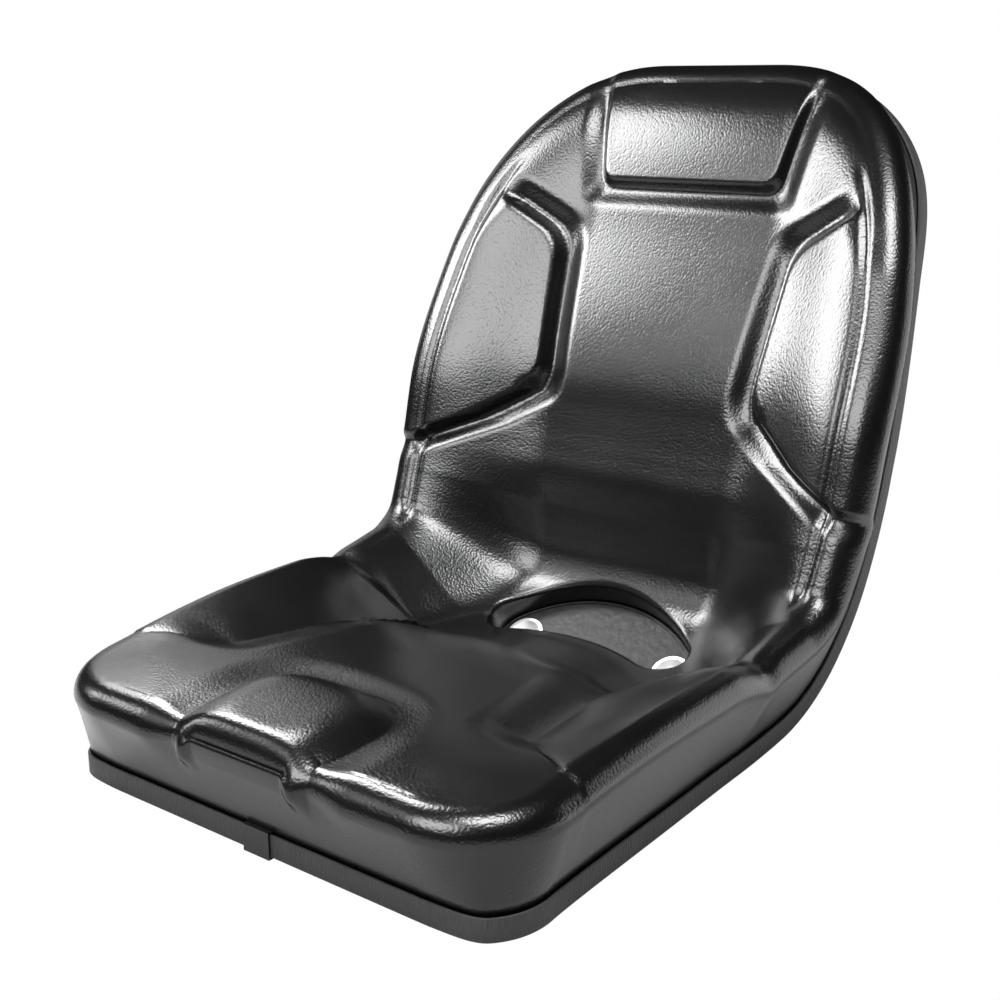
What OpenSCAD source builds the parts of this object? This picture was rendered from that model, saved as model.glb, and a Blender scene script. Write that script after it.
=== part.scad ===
// High-back tractor seat: moulded cushion on a pressed steel pan, with edge trim.
// Frame: millimetres, +Z up, the sitter faces -Y, +X is the sitter's left.
// The origin is the middle of the four mounting points, on their underside.
// The pan, the cushion and the trim share one side line, run along by s (arc
// length from the front), with x across and t out of the pan towards the sitter.

/* [Side line of the pan] */
// Straight length of the seat bottom
seat_run = 298; // [260:2:340]
// Length of the gentle rise behind the straight bottom
rise_run = 73; // [60:1:90]
// Angle at the end of that rise
rise_angle = 6; // [4:0.5:8]
// Radius of the main bend between seat and back
bend_radius = 165; // [150:1:190]
// Angle at the end of the main bend
bend_angle = 45; // [40:1:50]
// Radius of the bend above it
upper_bend_radius = 200; // [180:2:240]
// Angle at the end of the upper bend
upper_bend_angle = 64; // [58:1:68]
// Radius of the last bend, below the straight back
back_bend_radius = 420; // [360:5:500]
// Angle of the straight back above the horizontal
back_angle = 75; // [72:0.5:80]
// Straight length of the back
back_run = 345; // [320:1:370]

/* [Outline of the cushion] */
// Half width at the front
front_half_width = 221; // [205:1:235]
// Half width at the middle of the seat
seat_half_width = 229; // [215:1:240]
// Half width at the shoulders of the back
back_half_width = 241; // [230:1:255]
// Overhang of the cushion past the pan at the front
front_overhang = 21; // [12:1:28]
// Overhang past the pan at the two front corners
corner_overhang = 9; // [7:1:20]
// Overhang past the pan along the sides of the seat
side_overhang = 30; // [18:1:34]
// Overhang past the pan at the widest part of the back
back_overhang = 36; // [20:1:40]
// Overhang past the pan at the top
top_overhang = 4; // [3:1:12]
// Radius of the front corners, seen from above
corner_radius = 75; // [50:1:90]
// Length of the rounded shoulders, measured down the back
shoulder_length = 313; // [260:1:340]
// Half of the straight piece at the very top
top_half_width = 52; // [30:1:80]
// Squareness of the shoulders, 2 is an ellipse
shoulder_power = 2.4; // [2:0.05:2.8]
// Rounding of the top edge at the front
front_edge_radius = 19; // [12:1:22]
// Rounding of the top edge along the sides
side_edge_radius = 23; // [14:1:26]

/* [Cushion thickness above the pan line] */
// At the front edge, middle
front_thickness = 88; // [70:1:100]
// At the crown of the seat
crown_thickness = 91; // [75:1:105]
// Round the drain slot
bowl_thickness = 38; // [34:1:50]
// At the lumbar bulge
lumbar_thickness = 82; // [70:1:95]
// At the head pad
head_thickness = 53; // [45:1:65]
// At the top edge
top_thickness = 43; // [36:1:55]
// Rim beside the seat
thigh_thickness = 102; // [85:1:110]
// Rim at the widest part of the back
wing_thickness = 124; // [105:1:130]
// Rim beside the head pad
shoulder_thickness = 74; // [62:1:90]

/* [Pads and grooves] */
// Depth of the groove round the back bolsters
bolster_groove = 9; // [4:0.5:12]
// Height of the back bolsters above the surface
bolster_rise = 4; // [0:0.5:8]
// Depth of the groove round the head pad
head_groove = 6; // [3:0.5:9]
// Height of the head pad
head_rise = 3; // [0:0.5:6]
// Depth of the groove round the front pad
front_groove = 5; // [2:0.5:8]
// Height of the front pad
front_pad_rise = 9; // [3:0.5:12]
// Depth of the creases inside the thigh pads
thigh_crease = 13; // [6:0.5:16]
// Height of the thigh pads above the rim
thigh_rise = 3; // [0:0.5:6]

/* [Drain slot] */
// Radius of the rear edge of the slot plate
slot_arc = 128; // [120:1:136]
// Tilt of the slot plate above the horizontal
slot_tilt = 35; // [30:0.5:38]
// Height of the slot plate above the pan line
slot_level = 9; // [7:0.5:10]
// Gap between the foam and the plate's edge
slot_margin = 3; // [2.5:0.5:6]

/* [Pan] */
// Sheet thickness
sheet = 1.8; // [1.2:0.1:3]
// Top of the plate above the line of the trim's foot
plate_level = 10; // [9:0.5:12]
// Radius of the four mounting pads
mount_pad_radius = 21; // [18:0.5:26]
// Spacing of the mounting holes across the seat
mount_spacing_x = 285.75; // [240:0.25:300]
// Spacing of the mounting holes from front to back
mount_spacing_y = 292.1; // [250:0.1:300]
// Distance of the front mounting holes behind the trim
mount_front = 84; // [76:1:88]
// Bore of the mounting nuts, before threading
mount_bore = 6.8; // [5:0.1:8]
// Length of the ribs pressed into the back
back_rib_length = 210; // [120:5:240]
// Width of the pressed ribs
rib_width = 26; // [18:1:34]
// Depth of the pressed ribs
rib_depth = 5; // [3:0.5:6]

/* [Edge trim] */
// Height of the outer leg
trim_height = 17; // [14:0.5:20]
// Thickness of the legs
trim_wall = 2.4; // [1.6:0.1:3]
// Height of the inner leg
trim_inner_height = 6.5; // [5:0.5:8]
// Width of the joint clip
clip_width = 25; // [18:1:34]
// Thickness of the joint clip
clip_wall = 1.4; // [1:0.1:2]

/* [Fasteners] */
// Distance of the two slot bolts from the middle
bolt_x = 78; // [74:0.5:82]
// Thread diameter of the slot bolts
bolt_size = 8; // [6:1:8]
// Length of the slot bolts under the head
bolt_length = 15; // [14:0.5:16]
// Diameter of the cup washers
cup_diameter = 35; // [32:0.5:37]
// Depth of the cup washers
cup_depth = 5.5; // [4:0.25:6]
// Diameter of the domed bolt heads
head_diameter = 18; // [16:0.5:19]
// Width across the flats of the nuts
nut_width = 13; // [12:0.5:14]
// Height of the nuts
nut_height = 6; // [5:0.5:6.5]

/* [Hidden] */

// Height of the trim's foot above the mounting plane, and the gap between loose parts
foot_level = 4;
clearance = 0.3;
mount_mid = mount_front + mount_spacing_y / 2;

// Side line: pieces as [length, angle at the start, angle at the end]
line_pieces = [
    [seat_run, 0, 0],
    [rise_run, 0, rise_angle],
    [bend_radius * (bend_angle - rise_angle) * PI / 180, rise_angle, bend_angle],
    [upper_bend_radius * (upper_bend_angle - bend_angle) * PI / 180, bend_angle, upper_bend_angle],
    [back_bend_radius * (back_angle - upper_bend_angle) * PI / 180, upper_bend_angle, back_angle],
    [back_run, back_angle, back_angle]
];
function piece_start(k) = k == 0 ? 0 : piece_start(k - 1) + line_pieces[k - 1][0];
function piece_step(piece, l) = let (a = piece[1], turn = (piece[2] - a) * l / piece[0], r = 180 / PI)
    turn == 0 ? l * [cos(a), sin(a)]
    : let (chord = 2 * r * l / turn * sin(turn / 2)) chord * [cos(a + turn / 2), sin(a + turn / 2)];
line_joints = [for (k = 0, p = [0, 0]; k < len(line_pieces);
    p = p + piece_step(line_pieces[k], line_pieces[k][0]), k = k + 1) p];
line_starts = [for (k = [0 : len(line_pieces) - 1]) piece_start(k)];
function piece_at(s) = max([for (k = [0 : len(line_pieces) - 1]) if (k == 0 || s > line_starts[k]) k]);

// Angle of the side line at s, and the point at height t above it
function line_angle(s) = let (k = piece_at(s), p = line_pieces[k], l = s - line_starts[k])
    k == 0 ? 0 : p[1] + (p[2] - p[1]) * l / p[0];
function on_line(s, x, t) = let (k = piece_at(s), a = line_angle(s),
    p = line_joints[k] + piece_step(line_pieces[k], s - line_starts[k]))
    [x, p[0] - t * sin(a) - mount_mid, p[1] + t * cos(a) + foot_level];

// Stations along the side line
at_front = -front_overhang;
side_start = at_front + corner_radius;
at_bend = seat_run + rise_run;
at_slot = at_bend + 61;
at_back = line_starts[5];
at_top = at_back + back_run;
at_shoulder = at_top - shoulder_length;
at_wing = at_shoulder - 11;
at_bolster_top = at_top - 129;
at_head = at_top - 119;

// Smooth curve through a table of [station, value], flat at turning points
function clamp(v, low, high) = min(max(v, low), high);
function ease(v) = let (c = clamp(v, 0, 1)) c * c * (3 - 2 * c);
function rate(tab, i) = (tab[i + 1][1] - tab[i][1]) / (tab[i + 1][0] - tab[i][0]);
function tangent(tab, i) = i == 0 ? rate(tab, 0)
    : i == len(tab) - 1 ? rate(tab, i - 1)
    : let (a = rate(tab, i - 1), b = rate(tab, i),
        p = tab[i][0] - tab[i - 1][0], q = tab[i + 1][0] - tab[i][0])
        a * b <= 0 ? 0 : (a * q + b * p) / (p + q);
function curve(tab, v) = let (
    c = clamp(v, tab[0][0], tab[len(tab) - 1][0]),
    i = max([for (k = [0 : len(tab) - 2]) if (k == 0 || c >= tab[k][0]) k]),
    h = tab[i + 1][0] - tab[i][0], w = (c - tab[i][0]) / h)
    tab[i][1] * (1 + 2 * w) * (1 - w) * (1 - w) + h * tangent(tab, i) * w * (1 - w) * (1 - w)
    + tab[i + 1][1] * w * w * (3 - 2 * w) + h * tangent(tab, i + 1) * w * w * (w - 1);

middle_table = [
    [at_front, front_thickness - 1], [0, front_thickness], [60, crown_thickness],
    [110, crown_thickness - 1], [165, crown_thickness - 4], [200, crown_thickness - 6],
    [228, crown_thickness - 10], [251, crown_thickness - 16], [seat_run - 2, crown_thickness - 31.5],
    [at_bend - 26, bowl_thickness + 8], [at_bend, bowl_thickness + 2], [at_slot - 22, bowl_thickness - 1],
    [at_slot + 34, bowl_thickness + 1], [at_slot + 60, bowl_thickness + 8],
    [at_slot + 90, bowl_thickness + 21], [at_back - 80, lumbar_thickness - 12],
    [at_back - 45, lumbar_thickness - 3], [at_back - 16, lumbar_thickness - 0.5],
    [at_wing - 12, lumbar_thickness - 4], [at_wing + 2, lumbar_thickness - 3.5],
    [at_wing + 18, lumbar_thickness], [at_bolster_top - 35, (lumbar_thickness + head_thickness) / 2],
    [at_top - 28, head_thickness], [at_top, top_thickness]
];
rim_table = [
    [at_front, front_thickness - 2], [40, front_thickness + 1], [90, thigh_thickness - 7],
    [150, thigh_thickness - 2], [seat_run - 48, thigh_thickness], [seat_run - 3, thigh_thickness - 5],
    [at_bend - 40, thigh_thickness - 1], [at_bend + 30, thigh_thickness + 5],
    [at_bend + 90, wing_thickness - 13], [at_bend + 140, wing_thickness - 6],
    [at_wing - 70, wing_thickness - 2], [at_wing, wing_thickness],
    [at_wing + 106, wing_thickness - 15], [at_bolster_top, shoulder_thickness + 19],
    [at_top - 75, shoulder_thickness], [at_top - 28, head_thickness + 1], [at_top, top_thickness - 1]
];
flat_table = [
    [at_front, 0.95], [60, 0.85], [110, 0.72], [seat_run, 0.68], [at_bend + 30, 0.45],
    [at_wing - 50, 0.4], [at_wing + 18, 0.42], [at_bolster_top, 0.45], [at_top - 75, 0.5], [at_top, 0.7]
];
edge_table = [
    [at_front, front_edge_radius], [60, front_edge_radius + 2], [150, side_edge_radius - 3],
    [at_wing, side_edge_radius], [at_bolster_top, side_edge_radius], [at_top, front_edge_radius + 1]
];
half_table = [
    [side_start, front_half_width], [200, seat_half_width - 2], [seat_run, seat_half_width],
    [at_bend + 90, (seat_half_width + back_half_width) / 2],
    [at_wing - 50, back_half_width - 1], [at_shoulder, back_half_width]
];
overhang_table = [
    [at_front, front_overhang], [at_front + corner_radius * 0.3, corner_overhang],
    [side_start + 6, side_overhang - 15], [150, side_overhang - 8], [seat_run, side_overhang],
    [at_wing, back_overhang], [at_wing + 150, back_overhang - 6], [at_top - 75, top_overhang + 5],
    [at_top, top_overhang]
];

// Right half of the cushion's outline as [x, s]: corner, side and shoulder
function outline_half(corner_steps, side_stations, shoulder_steps) = let (
    r = corner_radius, w = front_half_width, p = 2 / shoulder_power) concat(
    [for (k = [0 : corner_steps]) let (a = 90 * k / corner_steps)
        [w - r + r * sin(a), at_front + r - r * cos(a)]],
    [for (s = side_stations) [curve(half_table, s), s]],
    [for (k = [0 : shoulder_steps]) let (a = 90 * k / shoulder_steps)
        [top_half_width + (back_half_width - top_half_width) * pow(cos(a), p),
        at_shoulder + shoulder_length * pow(sin(a), p)]]);
function unit(v) = v / norm(v);
function outward(pts, i) = i == 0 ? [0, -1] : i == len(pts) - 1 ? [0, 1]
    : let (d = unit(pts[i + 1] - pts[i - 1])) [d[1], -d[0]];
function spread(from, to, steps) = [for (k = [1 : steps]) from + (to - from) * k / steps];
fine_stations = concat(
    spread(side_start, seat_run, 20), spread(seat_run, at_slot, 13),
    spread(at_slot, at_back, 11), spread(at_back, at_wing, 3));
fine_half = outline_half(6, fine_stations, 22);
coarse_stations = concat(
    spread(side_start, seat_run, 3), spread(seat_run, at_bend, 3),
    spread(at_bend, line_starts[4], 10), spread(line_starts[4], at_shoulder - 22, 5));
coarse_half = outline_half(8, coarse_stations, 14);

// Ring round the whole seat at the heights of the list t. Along the front the list
// relief pushes it forwards and lifts it, so that the front pad rolls over the edge
function moved(half, gap) = [for (i = [0 : len(half) - 1]) half[i] + gap[i] * outward(half, i)];
function even(n, i) = -1 + 2 * i / n;
function ring(half, cols, t, relief = [], push = 0, lift = 0) = let (m = len(half) - 1) concat(
    [for (j = [0 : cols]) let (r = relief == [] ? 0 : relief[j])
        on_line(half[0][1] - push * r, even(cols, j) * half[0][0], t[0] + lift * r)],
    [for (i = [1 : m]) on_line(half[i][1], half[i][0], t[i])],
    [for (j = [cols - 1 : -1 : 0]) on_line(half[m][1], even(cols, j) * half[m][0], t[m])],
    [for (i = [m - 1 : -1 : 1]) on_line(half[i][1], -half[i][0], t[i])]);

// Signed distance in [x, s] to the line p-q, positive on its left
function beside(p, q, x, s) = let (d = unit(q - p)) d[0] * (s - p[1]) - d[1] * (x - p[0]);
function round_min(a, b, r) = let (h = clamp(0.5 + 0.5 * (b - a) / r, 0, 1))
    b + (a - b) * h - r * h * (1 - h);
// Edge of a pad: groove outside the line, raised pad inside it
function pad_edge(d, depth, rise, outer, inner) = d < 0 ? -depth * (1 - ease(-d / outer))
    : -depth + (depth + rise) * ease(d / inner);

bolster_tip = [180, at_bolster_top];
bolster_high = [114, at_bolster_top - 35];
bolster_low = [102, at_shoulder + 9];
bolster_foot = [211, at_shoulder - 73];
head_corner = [92, at_head];
head_end = [107, at_head + 91];
front_pad_corner = [42, at_front + 1];
front_pad_tip = [60, 72];
front_pad_bulge = 16;
front_pad_arc = (pow(front_pad_tip[0], 2) + pow(front_pad_bulge, 2)) / (2 * front_pad_bulge);
front_pad_center = front_pad_tip[1] + front_pad_bulge - front_pad_arc;
thigh_nose = [150, 95];
thigh_rear = [175, seat_run];
thigh_side = [215, 62];

function bolster(x, s) = pad_edge(round_min(round_min(
    beside(bolster_tip, bolster_high, x, s), beside(bolster_high, bolster_low, x, s), 18),
    beside(bolster_low, bolster_foot, x, s), 18), bolster_groove, bolster_rise, 22, 14);
function head_pad(x, s) = pad_edge(round_min(beside(head_corner, head_end, x, s), s - at_head, 14),
    head_groove, head_rise, 20, 14) * ease((at_top - 13 - s) / 40);
function front_pad(x, s) = pad_edge(round_min(beside(front_pad_corner, front_pad_tip, x, s),
    front_pad_arc - norm([x, s - front_pad_center]), 14), front_groove, front_pad_rise, 18, 26);
// The thigh pads slope up to the rim from a crease that fades behind the seat
function thigh_pad(x, s) = let (
    d = round_min(round_min(beside(thigh_rear, thigh_nose, x, s), beside(thigh_nose, thigh_side, x, s), 8),
        seat_run + 32 - s, 30),
    depth = thigh_crease * (1 - 0.55 * ease((s - seat_run + 60) / 80)),
    climb = round_min(max(d, 0) / thigh_slope, 1, 0.4))
    d < 0 ? -depth * (1 - ease(-d / 80)) : (depth + thigh_rise) * climb - depth;
thigh_slope = 42;

// Beside its middle the crown ends earlier, as a round tongue between the two bolts
function tongue(x, s) = 36 * pow(min(x, 110) / 87, 2) * ease((s - seat_run + 70) / 60)
    * ease((at_slot - s) / 60);

// Height of the seating surface at x across, where the rim lies at x = rim
function height_at(x, s, rim) = let (a = abs(x), u0 = curve(flat_table, s),
    u = (a / rim - u0) / (1 - u0), middle = curve(middle_table, s + tongue(a, s)),
    fade = ease((rim + 12 - a) / 30))
    middle + (curve(rim_table, s) - middle) * ease(u)
    + fade * (bolster(a, s) + thigh_pad(a, s)) + head_pad(a, s) + front_pad(a, s);

// Closed mesh of a rectangular grid of points, rings round it and a floor across the last ring
function grid_border(rows, cols) = concat(
    [for (j = [0 : cols]) j],
    [for (i = [1 : rows]) i * (cols + 1) + cols],
    [for (j = [cols - 1 : -1 : 0]) rows * (cols + 1) + j],
    [for (i = [rows - 1 : -1 : 1]) i * (cols + 1)]);
function band(from, to) = let (n = len(from)) [for (k = [0 : n - 1]) let (m = (k + 1) % n)
    each [[from[k], from[m], to[m]], [from[k], to[m], to[k]]]];
function cap(first, rows, cols, flip) = let (
    right = function (i) first + cols + i,
    left = function (i) i == 0 ? first : i == rows ? first + 2 * cols + rows : first + 2 * (cols + rows) - i,
    faces = concat(
        [[for (j = [0 : cols]) first + j, right(1), left(1)]],
        [for (i = [1 : rows - 2]) [left(i), right(i), right(i + 1), left(i + 1)]],
        [[left(rows - 1), right(rows - 1), for (j = [0 : cols]) right(rows) + j]]))
    flip ? faces : [for (f = faces) [for (k = [len(f) - 1 : -1 : 0]) f[k]]];

// Closed body between a stack of rings over the same outline
module stack(rings, rows, cols) {
    n = len(rings[0]);
    last = len(rings) - 1;
    ids = [for (k = [0 : last]) [for (m = [0 : n - 1]) k * n + m]];
    polyhedron([for (r = rings) each r], concat(
        cap(0, rows, cols, false),
        [for (k = [0 : last - 1]) each band(ids[k], ids[k + 1])],
        cap(last * n, rows, cols, true)));
}

// Columns of the grid, fall of the front pad's roll, and where it ends on the wall
grid_cols = 40;
front_roll = 0.7;
wall_step = 0.25;

module cushion_form() {
    rows = len(fine_half) - 1;
    edge = [for (p = fine_half) curve(edge_table, p[1])];
    rim = moved(fine_half, -edge);
    rim_t = [for (p = rim) height_at(p[0], p[1], p[0])];
    overhang = [for (p = fine_half) curve(overhang_table, p[1])];
    grid = [for (i = [0 : rows], j = [0 : grid_cols])
        let (x = even(grid_cols, j) * rim[i][0], s = rim[i][1])
        on_line(s, x, height_at(x, s, rim[i][0]))];
    relief = [for (j = [0 : grid_cols]) height_at(even(grid_cols, j) * rim[0][0], rim[0][1], rim[0][0])
        - rim_t[0]];
    low = trim_height - 0.5;
    rings = concat(
        [for (a = [30, 60, 90]) ring(moved(fine_half, [for (e = edge) -e * (1 - sin(a))]), grid_cols,
            [for (i = [0 : rows]) rim_t[i] - edge[i] * (1 - cos(a))],
            relief, sin(a), cos(a) - front_roll * sin(a))],
        [ring(moved(fine_half, -wall_step * overhang), grid_cols,
            [for (i = [0 : rows]) (rim_t[i] - edge[i]) * (1 - wall_step) + low * wall_step],
            relief, 0.3, -0.3 * front_roll)],
        [for (leg = [[0, low], [tuck, low - 1], [tuck, plate_level]])
            ring(moved(fine_half, [for (o = overhang) -o - leg[0]]), grid_cols, [for (o = overhang) leg[1]])]);
    n = len(rings[0]);
    first = (rows + 1) * (grid_cols + 1);
    last = len(rings) - 1;
    ids = concat([grid_border(rows, grid_cols)],
        [for (k = [0 : last]) [for (m = [0 : n - 1]) first + k * n + m]]);
    at = function (i, j) i * (grid_cols + 1) + j;
    faces = concat(
        [for (i = [0 : rows - 1], j = [0 : grid_cols - 1]) each (
            j < grid_cols / 2
            ? [[at(i, j), at(i + 1, j), at(i + 1, j + 1)], [at(i, j), at(i + 1, j + 1), at(i, j + 1)]]
            : [[at(i, j), at(i + 1, j), at(i, j + 1)], [at(i, j + 1), at(i + 1, j), at(i + 1, j + 1)]])],
        [for (k = [0 : last]) each band(ids[k], ids[k + 1])],
        cap(first + last * n, rows, grid_cols, true));
    polyhedron(concat(grid, [for (r = rings) each r]), faces);
}

// Frame of the slot plate: x across, y up the plate, z out of it
slot_station = at_bend + 39;
module slot_frame() {
    o = on_line(slot_station, 0, slot_level);
    translate(o)
        rotate([slot_tilt, 0, 0])
            children();
}

// Crescent between a rear arc, a flatter front arc and an arc round each of the two bolts
slot_center = [0, -78];
slot_front_center = [0, -192];
bolt_place = [bolt_x, -3];
slot_end = slot_arc - norm(bolt_place - slot_center);
slot_front_arc = norm(bolt_place - slot_front_center) - slot_end;
module crescent(grow) {
    mirrored = [-bolt_x, bolt_place[1]];
    difference() {
        intersection() {
            translate(slot_center)
                circle(r = slot_arc + grow, $fn = 96);
            polygon([slot_front_center, bolt_place, 3 * bolt_place - 2 * slot_center,
                3 * mirrored - 2 * slot_center, mirrored]);
        }
        translate(slot_front_center)
            circle(r = slot_front_arc - grow, $fn = 192);
    }
    for (place = [bolt_place, mirrored])
        translate(place)
            circle(r = slot_end + grow, $fn = 48);
}

module cushion() {
    color([0.07, 0.07, 0.075])
        resize([2 * back_half_width, 0, 0])
            difference() {
                cushion_form();
                slot_frame()
                    translate([0, 0, -through])
                        linear_extrude(height = through + wing_thickness)
                            crescent(slot_margin);
                translate([0, trim_face - mount_mid, foot_level])
                    rotate([90, 0, 0])
                        linear_extrude(height = through)
                            intersection() {
                                translate([0, relief_top - relief_radius])
                                    circle(r = relief_radius, $fn = 96);
                                translate([-relief_width / 2, 0])
                                    square([relief_width, relief_top]);
                            }
            }
}

// The cushion is tucked behind the trim; an arched relief clears the joint clip
tuck = 1.5;
relief_width = clip_width + 16;
relief_top = trim_height + 5;
relief_radius = 40;
through = 30;

// Section of the pressed pan's edge and of the trim that grips it
flange_out = clearance;
flange_foot = trim_wall + clearance;
trim_face = 3;
wall_inset = flange_out - 3;
module pan_stack(legs) {
    overhang = [for (p = coarse_half) curve(overhang_table, p[1])];
    stack([for (leg = legs) ring(moved(coarse_half, [for (o = overhang) -o + leg[0]]), 1,
        [for (o = overhang) leg[1]])], len(coarse_half) - 1, 1);
}
module pan_shell() {
    round = 2.5;
    pan_stack([
        [flange_out - round, plate_level - clearance], [flange_out - round * 0.3, plate_level - round * 0.3],
        [flange_out, plate_level - round], [flange_out, flange_foot], [flange_out - sheet, flange_foot],
        [flange_out - sheet, plate_level - sheet]]);
}

module mount_places() {
    for (x = [-1, 1], y = [-1, 1])
        translate([x * mount_spacing_x / 2, y * mount_spacing_y / 2, 0])
            children();
}

module bolt_places(side) {
    slot_frame()
        translate([side * bolt_place[0], bolt_place[1], 0])
            children();
}

module rib(length, grow, depth) {
    r = rib_width / 2 + grow;
    translate([0, 0, -depth])
        linear_extrude(height = depth + sheet) {
            square([2 * r, length], center = true);
            for (e = [-1, 1])
                translate([0, e * length / 2])
                    circle(r = r, $fn = 48);
        }
}
module rib_places() {
    o = on_line(at_back + back_run * 0.45, 0, plate_level);
    for (x = [-115, 0, 115])
        translate(o + [x, 0, 0])
            rotate([back_angle, 0, 0])
                children();
}

// Conical seat for a cup washer, made thicker by wall
module cup_seat(wall, up) {
    translate([0, 0, -cup_depth - wall])
        cylinder(h = cup_depth, r1 = cup_base + wall, r2 = cup_rim + wall, $fn = 64);
    translate([0, 0, -wall])
        cylinder(h = wall + up, r = cup_rim + wall, $fn = 64);
}
cup_rim = cup_diameter / 2 - 2.2;
cup_base = head_diameter / 2 + 1.5;

module mount_pad(wall, top) {
    cylinder(h = top, r1 = mount_pad_radius - wall, r2 = mount_pad_radius - wall + top / 4, $fn = 96);
}

// Plate of the slot: let into the pan at the front, raised above it at the rear
module slot_walls() {
    intersection() {
        slot_frame()
            translate([0, 0, -sheet])
                linear_extrude(height = through)
                    crescent(sheet);
        pan_stack([[wall_inset, plate_level], [wall_inset, -through]]);
    }
    intersection() {
        slot_frame()
            translate([0, 0, -through])
                linear_extrude(height = through)
                    crescent(sheet);
        pan_stack([[wall_inset, through], [wall_inset, plate_level - sheet]]);
    }
    slot_frame()
        translate([0, 0, -sheet])
            linear_extrude(height = sheet + bead_height)
                crescent(sheet);
}

module seat_pan() {
    color([0.05, 0.05, 0.055])
        difference() {
            union() {
                difference() {
                    union() {
                        pan_shell();
                        slot_walls();
                    }
                    slot_frame() {
                        linear_extrude(height = through)
                            crescent(0);
                        translate([0, 0, -through])
                            linear_extrude(height = through - sheet)
                                crescent(0);
                    }
                }
                bolt_places(-1) cup_seat(sheet, 0);
                bolt_places(1) cup_seat(sheet, 0);
                intersection() {
                    pan_stack([[wall_inset, plate_level], [wall_inset, -through]]);
                    union() {
                        mount_places() mount_pad(0, through);
                        rib_places() rib(back_rib_length, sheet, rib_depth + sheet);
                    }
                }
            }
            for (side = [-1, 1])
                bolt_places(side) {
                    cup_seat(0, 3);
                    translate([0, 0, -through])
                        cylinder(h = through, r = bolt_size / 2 + clearance, $fn = 48);
                }
            mount_places() {
                translate([0, 0, sheet])
                    mount_pad(sheet, through);
                translate([0, 0, -1])
                    cylinder(h = plate_level, r = pilot_radius + clearance, $fn = 48);
            }
            rib_places() rib(back_rib_length, 0, rib_depth);
        }
}
bead_height = 1.5;

module edge_trim() {
    inner = flange_out - sheet - clearance;
    lip = trim_face - 0.8;
    legs = [[lip, 0], [trim_face, 0.8], [trim_face, trim_height - 0.8], [lip, trim_height],
        [trim_face - trim_wall, trim_height], [trim_face - trim_wall, trim_wall],
        [inner, trim_wall], [inner, trim_inner_height], [inner - trim_wall, trim_inner_height],
        [inner - trim_wall, 0]];
    overhang = [for (p = coarse_half) curve(overhang_table, p[1])];
    rings = [for (leg = legs) ring(moved(coarse_half, [for (o = overhang) -o + leg[0]]), 1,
        [for (o = overhang) leg[1]])];
    n = len(rings[0]);
    c = len(rings);
    color([0.09, 0.09, 0.09])
        polyhedron([for (r = rings) each r], [for (k = [0 : c - 1])
            each band([for (m = [0 : n - 1]) ((k + 1) % c) * n + m], [for (m = [0 : n - 1]) k * n + m])]);
}

module trim_clip() {
    out = trim_face + clearance;
    low = -clearance;
    high = trim_height + clearance;
    inner = flange_out - sheet - clearance - trim_wall;
    color([0.04, 0.04, 0.04])
        translate([-clip_width / 2, -mount_mid, foot_level])
            rotate([90, 0, 90])
                linear_extrude(height = clip_width)
                    polygon([[-out - clip_wall, low - clip_wall], [-inner, low - clip_wall], [-inner, low],
                        [-out, low], [-out, high], [clip_hook, high], [clip_hook, high + clip_wall],
                        [-out - clip_wall, high + clip_wall]]);
}
clip_hook = 0.6;

module cup_washer() {
    t = 1.2;
    rim = cup_diameter / 2;
    color([0.75, 0.75, 0.76])
        rotate_extrude($fn = 72)
            polygon([[bolt_size / 2 + clearance, -cup_depth], [cup_base - clearance, -cup_depth],
                [cup_rim - clearance, 0], [rim, 0], [rim, t], [cup_rim - 0.6, t],
                [cup_base - 1, t - cup_depth], [bolt_size / 2 + clearance, t - cup_depth]]);
}
module cup_washer_left() { bolt_places(1) cup_washer(); }
module cup_washer_right() { bolt_places(-1) cup_washer(); }

// Stack on the slot bolts, from the washer's floor downwards
head_seat = 1.2 - cup_depth;
under_pan = -cup_depth - sheet;
flat_washer_thickness = 1.6;
lock_washer_thickness = 2;
module bolt() {
    r = head_diameter / 2;
    h = head_diameter * 0.28;
    ball = (r * r + h * h) / (2 * h);
    color([0.45, 0.45, 0.46]) {
        intersection() {
            translate([0, 0, head_seat + 1.2 + h - ball])
                sphere(r = ball, $fn = 64);
            translate([0, 0, head_seat])
                cylinder(h = h + 2, r = r, $fn = 64);
        }
        translate([0, 0, head_seat - bolt_length])
            cylinder(h = bolt_length + 1, r = bolt_size / 2, $fn = 48);
    }
}
module bolt_left() { bolt_places(1) bolt(); }
module bolt_right() { bolt_places(-1) bolt(); }

module flat_washer() {
    color([0.6, 0.6, 0.6])
        translate([0, 0, under_pan - flat_washer_thickness])
            difference() {
                cylinder(h = flat_washer_thickness, r = bolt_size * 0.95, $fn = 48);
                translate([0, 0, -1])
                    cylinder(h = 5, r = bolt_size / 2 + clearance, $fn = 48);
            }
}
module flat_washer_left() { bolt_places(1) flat_washer(); }
module flat_washer_right() { bolt_places(-1) flat_washer(); }

module lock_washer() {
    color([0.5, 0.5, 0.5])
        translate([0, 0, under_pan - flat_washer_thickness - lock_washer_thickness])
            difference() {
                cylinder(h = lock_washer_thickness, r = bolt_size * 0.78, $fn = 48);
                translate([0, 0, -1])
                    cylinder(h = 5, r = bolt_size / 2 + clearance, $fn = 48);
                rotate([0, 20, 0])
                    translate([0, 0, -5])
                        cube([1.2, bolt_size, 20]);
            }
}
module lock_washer_left() { bolt_places(1) lock_washer(); }
module lock_washer_right() { bolt_places(-1) lock_washer(); }

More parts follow.
